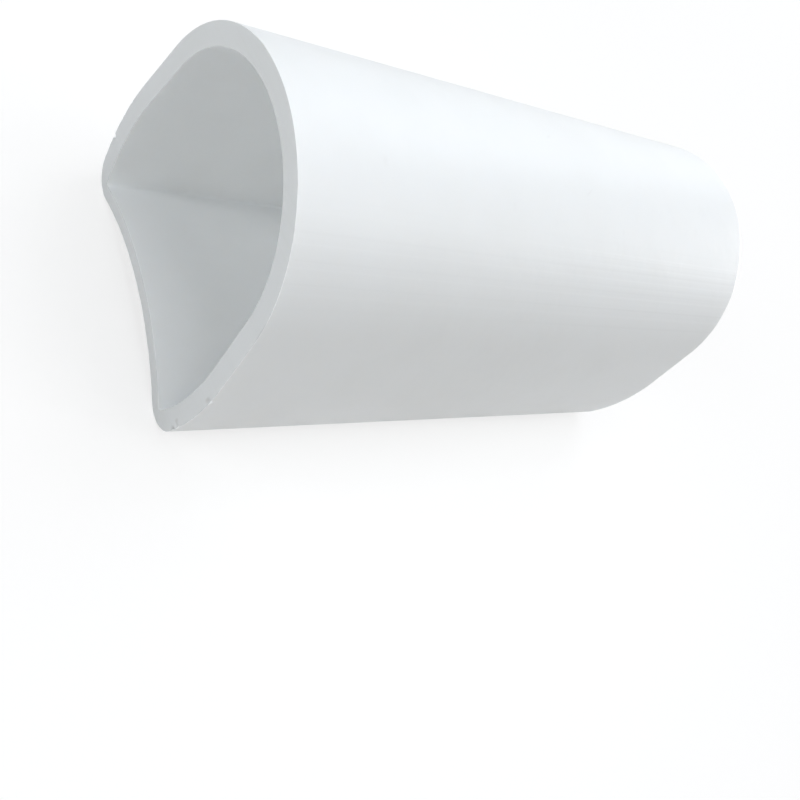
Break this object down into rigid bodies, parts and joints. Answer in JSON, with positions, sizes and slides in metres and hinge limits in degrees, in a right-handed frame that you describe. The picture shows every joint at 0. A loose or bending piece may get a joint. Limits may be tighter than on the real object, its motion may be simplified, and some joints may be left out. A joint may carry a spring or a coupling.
{
  "type": "dock edge bumper",
  "caption": "Short length of hollow white vinyl dock bumper extrusion with a round crown, rounded feet and a hollowed back that seats on a pile or dock edge.",
  "frame": {"origin": "middle of the plane that the two feet rest on, under the centre of the piece", "axes": "+X across the width, +Y along the extrusion, +Z from the feet up to the crown"},
  "size_m": [0.114, 0.226, 0.113],
  "materials": {
    "vinyl": "satin white vinyl with faint lines along the extrusion and a duller sawn face at each end"
  },
  "bodies": {
    "root": {"bumper_profile": "vinyl"}
  },
  "joints": []
}
